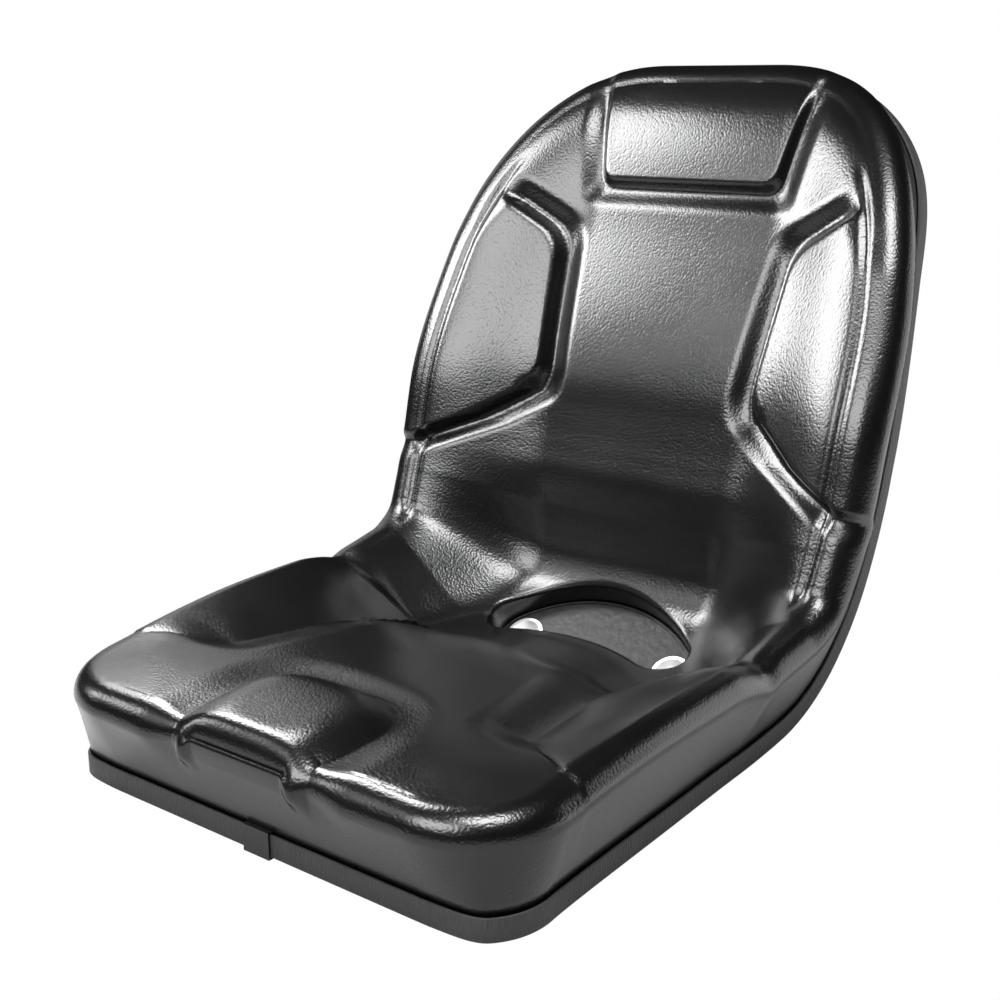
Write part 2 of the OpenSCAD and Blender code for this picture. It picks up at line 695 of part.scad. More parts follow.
module hex_nut(across, height, bore, pilot) {
    difference() {
        union() {
            cylinder(h = height, r = across / sqrt(3), $fn = 6);
            translate([0, 0, -pilot])
                cylinder(h = pilot + 1, r = pilot_radius, $fn = 48);
        }
        translate([0, 0, -pilot - 1])
            cylinder(h = height + pilot + 2, r = bore, $fn = 48);
        translate([0, 0, height - across * 0.03])
            cylinder(h = 1, r1 = bore, r2 = bore + 1.5, $fn = 48);
    }
}
module slot_nut() {
    color([0.55, 0.55, 0.56])
        translate([0, 0, under_pan - flat_washer_thickness - lock_washer_thickness - nut_height])
            hex_nut(nut_width, nut_height, bolt_size / 2, 0);
}
module nut_left() { bolt_places(1) slot_nut(); }
module nut_right() { bolt_places(-1) slot_nut(); }

// Nuts welded inside the mounting pads, their pilots flush with the underside
pilot_radius = mount_bore / 2 + 2;
module weld_nut(x, y) {
    color([0.5, 0.5, 0.48])
        translate([x * mount_spacing_x / 2, y * mount_spacing_y / 2, sheet])
            hex_nut(nut_width + 2, nut_height + 1, mount_bore / 2, sheet);
}
module weld_nut_front_left() { weld_nut(1, -1); }
module weld_nut_front_right() { weld_nut(-1, -1); }
module weld_nut_rear_left() { weld_nut(1, 1); }
module weld_nut_rear_right() { weld_nut(-1, 1); }

cushion();
seat_pan();
edge_trim();
trim_clip();
bolt_left();
bolt_right();
cup_washer_left();
cup_washer_right();
flat_washer_left();
flat_washer_right();
lock_washer_left();
lock_washer_right();
nut_left();
nut_right();
weld_nut_front_left();
weld_nut_front_right();
weld_nut_rear_left();
weld_nut_rear_right();
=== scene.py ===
import math

import bpy
import numpy as np
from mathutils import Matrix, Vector
from mathutils.geometry import delaunay_2d_cdt


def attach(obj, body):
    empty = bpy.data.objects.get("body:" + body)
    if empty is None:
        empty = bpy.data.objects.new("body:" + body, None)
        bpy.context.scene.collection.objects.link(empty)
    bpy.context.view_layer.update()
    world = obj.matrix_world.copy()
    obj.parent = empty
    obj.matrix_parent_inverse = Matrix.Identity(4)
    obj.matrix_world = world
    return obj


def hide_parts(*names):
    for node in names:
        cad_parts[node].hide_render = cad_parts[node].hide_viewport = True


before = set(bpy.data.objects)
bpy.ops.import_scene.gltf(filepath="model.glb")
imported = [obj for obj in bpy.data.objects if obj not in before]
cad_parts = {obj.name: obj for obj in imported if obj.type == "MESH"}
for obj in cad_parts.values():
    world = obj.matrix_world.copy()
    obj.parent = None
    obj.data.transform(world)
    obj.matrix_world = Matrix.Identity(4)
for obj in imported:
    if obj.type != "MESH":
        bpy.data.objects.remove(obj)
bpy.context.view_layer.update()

# Sizes in millimetres, as in the part's source; MM turns them into metres
MM = 0.001

# Side line of the pan: straight pieces and bends as (length, angle at start, angle at end)
SEAT_RUN, RISE_RUN, BACK_RUN = 298.0, 73.0, 345.0
RISE_ANGLE, BEND_ANGLE, UPPER_BEND_ANGLE, BACK_ANGLE = (math.radians(a) for a in (6, 45, 64, 75))
BEND_RADIUS, UPPER_BEND_RADIUS, BACK_BEND_RADIUS = 165.0, 200.0, 420.0
FOOT_LEVEL = 4.0
MOUNT_MID = 84 + 292.1 / 2
LINE_PIECES = [
    (SEAT_RUN, 0.0, 0.0),
    (RISE_RUN, 0.0, RISE_ANGLE),
    (BEND_RADIUS * (BEND_ANGLE - RISE_ANGLE), RISE_ANGLE, BEND_ANGLE),
    (UPPER_BEND_RADIUS * (UPPER_BEND_ANGLE - BEND_ANGLE), BEND_ANGLE, UPPER_BEND_ANGLE),
    (BACK_BEND_RADIUS * (BACK_ANGLE - UPPER_BEND_ANGLE), UPPER_BEND_ANGLE, BACK_ANGLE),
    (BACK_RUN, BACK_ANGLE, BACK_ANGLE),
]

# Outline of the cushion
FRONT_HALF, SEAT_HALF, BACK_HALF, TOP_HALF = 221.0, 229.0, 241.0, 52.0
FRONT_OVERHANG, CORNER_OVERHANG, SIDE_OVERHANG, BACK_OVERHANG, TOP_OVERHANG = 21.0, 9.0, 30.0, 36.0, 4.0
CORNER_RADIUS, SHOULDER_LENGTH, SHOULDER_POWER = 75.0, 313.0, 2.4
FRONT_EDGE, SIDE_EDGE = 19.0, 23.0

# The cushion's wall ends inside the trim, and its foot is tucked in behind the trim's inner leg
TRIM_HEIGHT, PLATE_LEVEL, TUCK = 17.0, 10.0, 1.5
WALL_END = TRIM_HEIGHT - 0.5

# Section of the trim as (outwards, level)
TRIM_SECTION = [
    (2.2, 0), (2.75, 0.25), (3, 0.8),
    (3, TRIM_HEIGHT - 0.8), (2.75, TRIM_HEIGHT - 0.25), (2.2, TRIM_HEIGHT),
    (1.2, TRIM_HEIGHT), (0.6, TRIM_HEIGHT - 0.6), (0.6, 2.4),
    (-1.8, 2.4), (-1.8, 6.5), (-4.2, 6.5), (-4.2, 0),
]

# Thickness of the cushion above the side line
FRONT_T, CROWN_T, BOWL_T, LUMBAR_T, HEAD_T, TOP_T = 88.0, 91.0, 38.0, 82.0, 53.0, 43.0
THIGH_T, WING_T, SHOULDER_T = 102.0, 124.0, 74.0

# Slot plate and its bolts, in the frame of the plate
SLOT_REAR_ARC, SLOT_REAR_CENTER, SLOT_FRONT_CENTER, SLOT_MARGIN = 128.0, -78.0, -192.0, 3.0
SLOT_TILT = math.radians(35)
SLOT_PLATE_LEVEL = 9.0
BOLT_X, BOLT_Y = 78.0, -3.0


def line_starts():
    starts = [0.0]
    for length, _, _ in LINE_PIECES[:-1]:
        starts.append(starts[-1] + length)
    return starts


# Stations along the side line
STARTS = line_starts()
AT_FRONT = -FRONT_OVERHANG
AT_BEND = SEAT_RUN + RISE_RUN
AT_SLOT = AT_BEND + 61
AT_BACK = STARTS[5]
AT_TOP = AT_BACK + BACK_RUN
AT_SHOULDER = AT_TOP - SHOULDER_LENGTH
AT_WING = AT_SHOULDER - 11
AT_BOLSTER_TOP = AT_TOP - 129
AT_HEAD = AT_TOP - 119


def advance(length, a, b, run):
    """Depth, height and angle gained by a run along a piece that turns from angle a to b."""
    if abs(b - a) < 1e-9:
        return run * math.cos(a), run * math.sin(a), a + 0 * run
    bend = (b - a) / length
    angle = a + bend * run
    return (np.sin(angle) - math.sin(a)) / bend, (math.cos(a) - np.cos(angle)) / bend, angle


def side_line(s):
    """Depth, height and angle of the side line at arc length s."""
    s = np.asarray(s, float)
    y, z, angle = s.copy(), np.zeros_like(s), np.zeros_like(s)
    here_y = here_z = 0.0
    for start, (length, a, b) in zip(STARTS, LINE_PIECES):
        inside_piece = s >= start if start else np.ones_like(s, bool)
        step_y, step_z, turned = advance(length, a, b, np.where(inside_piece, s - start, 0.0))
        y = np.where(inside_piece, here_y + step_y, y)
        z = np.where(inside_piece, here_z + step_z, z)
        angle = np.where(inside_piece, turned, angle)
        end_y, end_z, _ = advance(length, a, b, length)
        here_y, here_z = here_y + end_y, here_z + end_z
    return y, z, angle


def on_line(s, x, t):
    """Points at height t out of the pan, in millimetres in the shared frame."""
    y, z, angle = side_line(s)
    x = np.asarray(x, float) + 0 * y
    return np.stack([x, y - t * np.sin(angle) - MOUNT_MID, z + t * np.cos(angle) + FOOT_LEVEL], -1)


def ease(v):
    """Smooth step from 0 to 1."""
    c = np.clip(v, 0, 1)
    return c * c * (3 - 2 * c)


def curve(table, v):
    """Smooth curve through (station, value) pairs, flat at its turning points."""
    at = np.array([p[0] for p in table], float)
    val = np.array([p[1] for p in table], float)
    rate = np.diff(val) / np.diff(at)
    gap = np.diff(at)
    slope = np.zeros(len(at))
    slope[0], slope[-1] = rate[0], rate[-1]
    for i in range(1, len(at) - 1):
        if rate[i - 1] * rate[i] > 0:
            slope[i] = (rate[i - 1] * gap[i] + rate[i] * gap[i - 1]) / (gap[i - 1] + gap[i])
    v = np.clip(np.asarray(v, float), at[0], at[-1])
    i = np.clip(np.searchsorted(at, v, "right") - 1, 0, len(at) - 2)
    w = (v - at[i]) / gap[i]
    return (
        val[i] * (1 + 2 * w) * (1 - w) ** 2
        + gap[i] * slope[i] * w * (1 - w) ** 2
        + val[i + 1] * w * w * (3 - 2 * w)
        + gap[i] * slope[i + 1] * w * w * (w - 1)
    )


# Thickness along the middle and along the rim
MIDDLE = [
    (AT_FRONT, FRONT_T - 1), (0, FRONT_T), (60, CROWN_T), (110, CROWN_T - 1), (165, CROWN_T - 4),
    (200, CROWN_T - 6), (228, CROWN_T - 10), (251, CROWN_T - 16), (SEAT_RUN - 2, CROWN_T - 31.5),
    (AT_BEND - 26, BOWL_T + 8), (AT_BEND, BOWL_T + 2), (AT_SLOT - 22, BOWL_T - 1),
    (AT_SLOT + 34, BOWL_T + 1), (AT_SLOT + 60, BOWL_T + 8), (AT_SLOT + 90, BOWL_T + 21),
    (AT_BACK - 80, LUMBAR_T - 12),
    (AT_BACK - 45, LUMBAR_T - 3), (AT_BACK - 20, LUMBAR_T - 1.6), (AT_WING - 16, LUMBAR_T - 1.4),
    (AT_WING + 4, LUMBAR_T - 1), (AT_WING + 26, LUMBAR_T),
    (AT_BOLSTER_TOP - 35, (LUMBAR_T + HEAD_T) / 2), (AT_TOP - 28, HEAD_T), (AT_TOP, TOP_T),
]
RIM = [
    (AT_FRONT, FRONT_T - 2), (40, FRONT_T + 1), (90, THIGH_T - 7), (150, THIGH_T - 2),
    (SEAT_RUN - 48, THIGH_T), (SEAT_RUN - 3, THIGH_T - 5), (AT_BEND - 40, THIGH_T - 1),
    (AT_BEND + 30, THIGH_T + 5), (AT_BEND + 90, WING_T - 13), (AT_BEND + 140, WING_T - 6),
    (AT_WING - 70, WING_T - 2), (AT_WING, WING_T), (AT_WING + 106, WING_T - 15),
    (AT_BOLSTER_TOP, SHOULDER_T + 19), (AT_TOP - 75, SHOULDER_T), (AT_TOP - 28, HEAD_T),
    (AT_TOP, TOP_T),
]

# Share of the half width that keeps the middle's thickness
FLAT = [
    (AT_FRONT, 0.5), (60, 0.72), (110, 0.7), (SEAT_RUN, 0.68), (AT_BEND + 30, 0.45), (AT_WING - 50, 0.4),
    (AT_WING + 18, 0.42), (AT_BOLSTER_TOP, 0.45), (AT_TOP - 75, 0.5), (AT_TOP, 0.7),
]

# Radius of the edge, half width of the outline, and how far it stands out past the foot
EDGE = [
    (AT_FRONT, FRONT_EDGE), (60, FRONT_EDGE + 2), (150, SIDE_EDGE - 3), (AT_WING, SIDE_EDGE),
    (AT_BOLSTER_TOP, SIDE_EDGE), (AT_TOP, FRONT_EDGE + 1),
]
HALF = [
    (AT_FRONT + CORNER_RADIUS, FRONT_HALF), (200, SEAT_HALF - 2), (SEAT_RUN, SEAT_HALF),
    (AT_BEND + 90, (SEAT_HALF + BACK_HALF) / 2), (AT_WING - 50, BACK_HALF - 1), (AT_SHOULDER, BACK_HALF),
]
OVERHANG = [
    (AT_FRONT, FRONT_OVERHANG), (AT_FRONT + CORNER_RADIUS * 0.3, CORNER_OVERHANG),
    (AT_FRONT + CORNER_RADIUS + 6, SIDE_OVERHANG - 15), (150, SIDE_OVERHANG - 8),
    (SEAT_RUN, SIDE_OVERHANG), (AT_WING, BACK_OVERHANG), (AT_WING + 150, BACK_OVERHANG - 6),
    (AT_TOP - 75, TOP_OVERHANG + 5), (AT_TOP, TOP_OVERHANG),
]

# Bolster and head pads: corners of their outlines as (x, s), how far the corners are rounded,
# and (groove depth, pad height, groove width, width of the pad's edge)
BOLSTER_TIP, BOLSTER_HIGH = (180, AT_BOLSTER_TOP), (114, AT_BOLSTER_TOP - 35)
BOLSTER_LOW, BOLSTER_FOOT = (102, AT_SHOULDER + 9), (211, AT_SHOULDER - 73)
BOLSTER_ROUND, BOLSTER_PROFILE = 18, (9, 4, 22, 9)
HEAD_CORNER, HEAD_END = (92, AT_HEAD), (107, AT_HEAD + 91)
HEAD_ROUND, HEAD_PROFILE = 14, (6, 3, 20, 9)

# Front pad: outline, height, width and power of its crown, and the groove round it
FRONT_PAD_HALF, FRONT_PAD_FRONT, FRONT_PAD_MIDDLE, FRONT_PAD_BACK = 68, -34, 35, 94
FRONT_PAD_RISE, FRONT_PAD_CROWN, FRONT_PAD_CROWN_POWER, FRONT_PAD_POWER = 13, 38, 2.4, 3
FRONT_GROOVE_DEPTH, FRONT_GROOVE_WIDTH = 4, 34

# Thigh pads: corners of their creases, the crease's depth and reach, the swell of their slope
THIGH_NOSE, THIGH_REAR, THIGH_SIDE = (152, 98), (118, SEAT_RUN - 5), (215, 62)
THIGH_CREASE, THIGH_START, THIGH_END = 9, 76, SEAT_RUN + 32
THIGH_ROUND, THIGH_FADE, THIGH_GROOVE_WIDTH, THIGH_SWELL = 26, 40, 50, 0.25

# Fold behind the thigh pads and crease along the rim of the back
FOLD_DEPTH, FOLD_AT, FOLD_WIDTH, FOLD_X, FOLD_SLANT = 3, SEAT_RUN + 14, 12, 150, 0.25
RIM_CREASE_DEPTH, RIM_CREASE_INSET, RIM_CREASE_WIDTH = 3, 9.5, 4

# The crown ends earlier beside its middle: by TAIL_SHIFT at TAIL_X, and no further out than TAIL_LIMIT
TAIL_SHIFT, TAIL_X, TAIL_LIMIT = 36, 87, 110

# The front pad rolls down to a crease at (s, t), with a bead before it as (step, rise);
# beside the pad the roll fades into the plain edge over ROLL_FADE
BEAD_AT, BEAD_LEVEL, PAD_ROLL_ROWS = -17.5, 77.0, 7
BEAD = [(2.2, 1.2), (3.4, -0.2), (3.5, -2.2)]
ROLL_HALF, ROLL_FADE = 56, 14

# Rows of the mesh: across the seat, round its edge, and down its wall as (share, bulge of the front)
COLUMNS = 190
CORNER_ROWS, SIDE_ROWS, SHOULDER_ROWS = 40, 250, 110
EDGE_ANGLES = np.radians(np.linspace(9, 90, 10))
WALL_ROWS = [(0.06, 0.9), (0.12, 0.7), (0.2, 0.4), (0.3, 0.12), (0.4, 0), (0.6, 0), (0.8, 0)]
FRONT_SINK = 0.7
ACROSS = np.linspace(-1, 1, COLUMNS + 1)


def beside(p, q, x, s):
    """Signed distance of (x, s) from the line through p and q, positive on its left."""
    length = math.hypot(q[0] - p[0], q[1] - p[1])
    return ((q[0] - p[0]) * (s - p[1]) - (q[1] - p[1]) * (x - p[0])) / length


def round_min(a, b, r):
    """Smaller of two distances, rounded where they are within r of each other."""
    h = np.clip(0.5 + 0.5 * (b - a) / r, 0, 1)
    return b + (a - b) * h - r * h * (1 - h)


def pad_edge(d, depth, rise, outer, inner):
    """Groove outside the pad's line, raised pad inside it."""
    return np.where(d < 0, -depth * (1 - ease(-d / outer)), -depth + (depth + rise) * ease(d / inner))


def bolster_line(x, s):
    upper = beside(BOLSTER_TIP, BOLSTER_HIGH, x, s)
    middle = beside(BOLSTER_HIGH, BOLSTER_LOW, x, s)
    lower = beside(BOLSTER_LOW, BOLSTER_FOOT, x, s)
    return round_min(round_min(upper, middle, BOLSTER_ROUND), lower, BOLSTER_ROUND)


def head_line(x, s):
    return round_min(beside(HEAD_CORNER, HEAD_END, x, s), s - AT_HEAD, HEAD_ROUND)


def thigh_line(x, s):
    rear, side = beside(THIGH_REAR, THIGH_NOSE, x, s), beside(THIGH_NOSE, THIGH_SIDE, x, s)
    return round_min(rear, side, THIGH_ROUND)


def front_pad(x, s):
    """Front pad: a pillow with a rounded outline in a wide soft groove."""
    behind, before = FRONT_PAD_BACK - FRONT_PAD_MIDDLE, FRONT_PAD_MIDDLE - FRONT_PAD_FRONT
    length = np.where(s > FRONT_PAD_MIDDLE, behind, before)
    power = FRONT_PAD_POWER
    across, along = x / FRONT_PAD_HALF, np.abs((s - FRONT_PAD_MIDDLE) / length)
    d = (1 - (across ** power + along ** power) ** (1 / power)) * FRONT_PAD_HALF
    pillow = FRONT_PAD_RISE * (1 - (1 - np.clip(d / FRONT_PAD_CROWN, 0, 1)) ** FRONT_PAD_CROWN_POWER)
    groove = -FRONT_GROOVE_DEPTH * (1 - ease(-d / FRONT_GROOVE_WIDTH))
    return np.where(d < 0, groove, pillow - FRONT_GROOVE_DEPTH)


def thigh_pad(x, s, rim, base):
    """Height with the thigh pads: a nearly plane slope from a crease up to the rim."""
    d = thigh_line(x, s)
    width = np.maximum(thigh_line(rim, s), 1)
    depth = THIGH_CREASE * ease((s - THIGH_START) / THIGH_FADE) * (1 - 0.5 * ease((s - SEAT_RUN + 60) / 80))
    low = curve(MIDDLE, s) - depth
    climb = np.clip(d / width, 0, 1)
    slope = low + (curve(RIM, s) + 1 - low) * climb * (1 + THIGH_SWELL - THIGH_SWELL * climb)
    padded = np.where(d < 0, base - depth * (1 - ease(-d / THIGH_GROOVE_WIDTH)), slope)
    fold_line = (s - FOLD_AT + (x - FOLD_X) * FOLD_SLANT) / FOLD_WIDTH
    fold = FOLD_DEPTH * np.exp(-(fold_line ** 2)) * ease((x - 105) / 40)
    return base + (padded - base) * ease((THIGH_END - s) / THIGH_FADE) - fold


def rim_crease(x, s, rim):
    """Shallow crease along the rim of the back."""
    along = ease((s - AT_SLOT + 30) / 60) * ease((AT_TOP - 85 - s) / 50)
    return RIM_CREASE_DEPTH * np.exp(-(((rim - x - RIM_CREASE_INSET) / RIM_CREASE_WIDTH) ** 2)) * along


def tail(x, s):
    """Shift along s that ends the crown earlier beside its middle."""
    shift = TAIL_SHIFT * (np.minimum(x, TAIL_LIMIT) / TAIL_X) ** 2
    return shift * ease((s - SEAT_RUN + 70) / 60) * ease((AT_SLOT - s) / 60)


def height_at(x, s, rim):
    """Thickness of the cushion at (x, s), where its rim lies at x = rim."""
    a = np.abs(x)
    start = curve(FLAT, s)
    u = (a / rim - start) / (1 - start)
    middle = curve(MIDDLE, s + tail(a, s))
    t = thigh_pad(a, s, rim, middle + (curve(RIM, s) - middle) * ease(u))
    # The bolster pads fade out at the rim, and sooner near their tips
    tip = ease((s - AT_BOLSTER_TOP + 60) / 60)
    fade = ease((rim + 12 - 20 * tip - a) / 30)
    t = t + fade * pad_edge(bolster_line(a, s), *BOLSTER_PROFILE)
    t = t + pad_edge(head_line(a, s), *HEAD_PROFILE) * ease((AT_TOP - 13 - s) / 40)
    return t + front_pad(a, s) - rim_crease(a, s, rim)


def outline_half():
    """Right half of the outline as rows of (x, s): corner, side and shoulder."""
    r, w, p = CORNER_RADIUS, FRONT_HALF, 2 / SHOULDER_POWER
    corner = [(w - r + r * math.sin(a), AT_FRONT + r - r * math.cos(a))
              for a in np.linspace(0, math.pi / 2, CORNER_ROWS)]
    side = [(float(curve(HALF, s)), s)
            for s in np.linspace(AT_FRONT + r, AT_SHOULDER, SIDE_ROWS)[1:-1]]
    shoulder = [(TOP_HALF + (BACK_HALF - TOP_HALF) * math.cos(a) ** p,
                 AT_SHOULDER + SHOULDER_LENGTH * math.sin(a) ** p)
                for a in np.linspace(0, math.pi / 2, SHOULDER_ROWS)]
    return np.array(corner + side + shoulder)


def outward(pts):
    """Unit normals of the outline's rows, pointing out of the seat."""
    d = np.empty_like(pts)
    d[1:-1] = pts[2:] - pts[:-2]
    d[0], d[-1] = (1, 0), (-1, 0)
    d /= np.linalg.norm(d, axis=1)[:, None]
    return np.stack([d[:, 1], -d[:, 0]], -1)


def ring(half, t, relief=0.0, push=0.0, lift=0.0, roll=None):
    """Points round the whole seat at the heights t; relief bulges the front row.

    The row (s, t) given as roll takes its place in front of the front pad.
    """
    front_x = ACROSS * half[0, 0]
    front_s, front_t = half[0, 1] - push * relief + 0 * ACROSS, t[0] + lift * relief
    if roll is not None:
        share = ease((ROLL_HALF - np.abs(front_x)) / ROLL_FADE)
        front_s, front_t = front_s + (roll[0] - front_s) * share, front_t + (roll[1] - front_t) * share
    front = on_line(front_s, front_x, front_t)
    right = on_line(half[1:, 1], half[1:, 0], t[1:])
    top = on_line(np.full(COLUMNS + 1, half[-1, 1]), ACROSS[::-1] * half[-1, 0], t[-1])[1:]
    left = on_line(half[1:-1, 1], -half[1:-1, 0], t[1:-1])[::-1]
    return np.concatenate([front, right, top, left])


def arc(center, radius, start, end, steps):
    """Points of an arc; its angles run from the y axis towards x."""
    return [(center[0] + radius * math.sin(a), center[1] + radius * math.cos(a))
            for a in np.linspace(start, end, steps)]


def crescent(grow):
    """Outline of the slot in its plate's frame: rear arc, flatter front arc, and an arc round each bolt."""
    rear = math.atan2(BOLT_X, BOLT_Y - SLOT_REAR_CENTER)
    front = math.atan2(BOLT_X, BOLT_Y - SLOT_FRONT_CENTER)
    end = SLOT_REAR_ARC - math.hypot(BOLT_X, BOLT_Y - SLOT_REAR_CENTER) + grow
    front_radius = math.hypot(BOLT_X, BOLT_Y - SLOT_FRONT_CENTER) - end
    outline = arc((0, SLOT_REAR_CENTER), SLOT_REAR_ARC + grow, -rear, rear, 60)
    outline += arc((BOLT_X, BOLT_Y), end, rear, math.pi + front, 24)[1:-1]
    outline += arc((0, SLOT_FRONT_CENTER), front_radius, front, -front, 60)
    outline += arc((-BOLT_X, BOLT_Y), end, math.pi - front, 2 * math.pi - rear, 24)[1:-1]
    return np.array(outline)


# Frame of the slot plate: origin, direction up the plate and direction out of it
PLATE_O = on_line(np.array([AT_BEND + 39.0]), 0.0, SLOT_PLATE_LEVEL)[0]
PLATE_V = np.array([0, math.cos(SLOT_TILT), math.sin(SLOT_TILT)])
PLATE_W = np.array([0, -math.sin(SLOT_TILT), math.cos(SLOT_TILT)])

# Rows round the slot as (offset, drop): on the surface, and round the lip with radius LIP
LIP = 5.0
LIP_ROWS = [(LIP + 7, 0), (LIP + 4, 0), (LIP + 1.5, 0)]
LIP_ROWS += [(LIP * (1 - math.sin(a)), LIP * (1 - math.cos(a))) for a in np.linspace(0, math.pi / 2, 8)]
BISECTIONS = 40


def station_at(x, v, level):
    """Arc length where the surface level(x, s) lies at v in the frame of the slot plate."""
    low, high = np.full(len(x), float(SEAT_RUN - 20)), np.full(len(x), AT_BACK - 60)
    for _ in range(BISECTIONS):
        mid = (low + high) / 2
        here = (on_line(mid, x, level(x, mid)) - PLATE_O) @ PLATE_V
        low, high = np.where(here < v, mid, low), np.where(here < v, high, mid)
    return (low + high) / 2


def inside(points, loop):
    """Which 2-D points lie inside a closed loop."""
    x, y = points[:, :1], points[:, 1:]
    ax, ay = loop[:, 0], loop[:, 1]
    bx, by = np.roll(ax, -1), np.roll(ay, -1)
    crosses = (ay > y) != (by > y)
    at = ax + (y - ay) * (bx - ax) / np.where(by == ay, 1, by - ay)
    return (crosses & (x < at)).sum(1) % 2 == 1


def fill(flat, border, hole):
    """Triangles between a border loop, a hole loop and the loose points, as rows of indices."""
    loops = np.concatenate([np.stack([loop, np.roll(loop, -1)], -1) for loop in (border, hole)])
    edges = [tuple(int(k) for k in edge) for edge in loops]
    result = delaunay_2d_cdt([Vector(p) for p in flat], edges, [], 0, 1e-6)
    first = [ids[0] if ids else -1 for ids in result[3]]
    faces = np.array([[first[k] for k in f] for f in result[2]])
    middle = flat[faces].mean(1)
    return faces[inside(middle, flat[border]) & ~inside(middle, flat[hole])]


def rows_of(faces):
    return [tuple(f) for f in faces]


def joined(loops):
    """Quads between each loop of indices and the next."""
    faces = []
    for a, b in zip(loops, loops[1:]):
        faces += rows_of(np.stack([a, b, np.roll(b, -1), np.roll(a, -1)], -1))
    return faces


def border_of(grid):
    """Closed loop round a grid of indices."""
    return np.concatenate([grid[0], grid[1:, -1], grid[-1, -2::-1], grid[-2:0:-1, 0]])


def edge_rings(half, out, rim, rim_t, front_t):
    """Closed rings from the rim round the edge, down the wall and in behind the trim."""
    edge, over = curve(EDGE, half[:, 1]), curve(OVERHANG, half[:, 1])
    relief = front_t - rim_t[0]
    rings = []
    for k, a in enumerate(EDGE_ANGLES):
        if k < PAD_ROLL_ROWS:
            b = math.radians(90 * (k + 1) / PAD_ROLL_ROWS)
            roll = (rim[0, 1] + (BEAD_AT - rim[0, 1]) * math.sin(b),
                    BEAD_LEVEL + (front_t - BEAD_LEVEL) * math.cos(b))
        else:
            step, rise = BEAD[k - PAD_ROLL_ROWS]
            roll = (BEAD_AT - step, BEAD_LEVEL + rise)
        line = half - (edge * (1 - math.sin(a)))[:, None] * out
        push, lift = math.sin(a), math.cos(a) - FRONT_SINK * math.sin(a)
        rings.append(ring(line, rim_t - edge * (1 - math.cos(a)), relief, push, lift, roll))
    high = rim_t - edge
    for share, bulge in WALL_ROWS:
        line, level = half - (over * share)[:, None] * out, high + (WALL_END - high) * share
        roll = (AT_FRONT + over[0] * share, level[0])
        rings.append(ring(line, level, relief, bulge, -FRONT_SINK * bulge, roll))
    for tuck, level in ((0, WALL_END), (TUCK, WALL_END - 1), (TUCK, PLATE_LEVEL)):
        rings.append(ring(half - (over + tuck)[:, None] * out, level + 0 * over))
    return rings


def slot_rings(surface):
    """Rings round the slot, from the surface over the rolled lip down the wall to the pan.

    Also gives the first ring and the last one as rows of (x, s).
    """
    rings, flats = [], []
    for offset, drop in LIP_ROWS:
        x, v = crescent(SLOT_MARGIN + offset).T
        s = station_at(x, v, surface)
        flats.append(np.stack([x, s], -1))
        rings.append(on_line(s, x, surface(x, s)) - drop * PLATE_W)
    foot_s = station_at(x, v, lambda px, ps: PLATE_LEVEL + 0 * ps)
    lip, foot = rings[-1], on_line(foot_s, x, PLATE_LEVEL)
    rings += [lip * (1 - share) + foot * share for share in (0.33, 0.66, 1)]
    return rings, flats[0], np.stack([x, foot_s], -1)


def top_faces(ids, rim, flat_top, slot_ids, slot_flat):
    """Quads of the top's grid, which gives way to triangles round the slot's first ring."""
    wide = slot_flat[:, 0].max() + 8
    low_row = np.searchsorted(rim[:, 1], slot_flat[:, 1].min() - 6) - 1
    high_row = np.searchsorted(rim[:, 1], slot_flat[:, 1].max() + 6)
    left_col = int(np.searchsorted(ACROSS, -wide / rim[low_row, 0])) - 1
    right_col = COLUMNS - left_col
    patch = ids[low_row: high_row + 1, left_col: right_col + 1]
    border, inner = border_of(patch), patch[1:-1, 1:-1].ravel()
    gap = np.min(np.linalg.norm(flat_top[inner][:, None] - slot_flat[None], axis=2), 1)
    inner = inner[(gap > 1.6) & ~inside(flat_top[inner], slot_flat)]
    used = np.concatenate([border, inner, slot_ids])
    flat = np.concatenate([flat_top[border], flat_top[inner], slot_flat])
    around = fill(flat, np.arange(len(border)), np.arange(len(used) - len(slot_ids), len(used)))
    keep = np.ones((len(ids) - 1, COLUMNS), bool)
    keep[low_row:high_row, left_col:right_col] = False
    quads = np.stack([ids[:-1, :-1], ids[:-1, 1:], ids[1:, 1:], ids[1:, :-1]], -1)[keep]
    return rows_of(quads) + rows_of(used[around])


def under_faces(last, base, slot_ids, foot_flat):
    """Underside of the cushion inside the ring last, with the slot's hole in it."""
    rows = len(base) - 1
    right, left = last[COLUMNS: COLUMNS + rows + 1], last[-np.arange(rows + 1)]
    low_row = np.searchsorted(base[:, 1], foot_flat[:, 1].min() - 4) - 1
    high_row = np.searchsorted(base[:, 1], foot_flat[:, 1].max() + 4)
    side = base[low_row: high_row + 1]
    used = np.concatenate([right[low_row: high_row + 1], left[low_row: high_row + 1][::-1], slot_ids])
    flat = np.concatenate([side, (side * [-1, 1])[::-1], foot_flat])
    under = fill(flat, np.arange(2 * len(side)), np.arange(2 * len(side), len(used)))
    faces = rows_of(used[under][:, ::-1])
    faces.append((*last[COLUMNS::-1], left[1], right[1]))
    for i in range(1, rows - 1):
        if i < low_row or i >= high_row:
            faces.append((right[i], left[i], left[i + 1], right[i + 1]))
    top = last[COLUMNS + rows: 2 * COLUMNS + rows + 1]
    faces.append((right[rows - 1], left[rows - 1], *top[::-1]))
    return faces


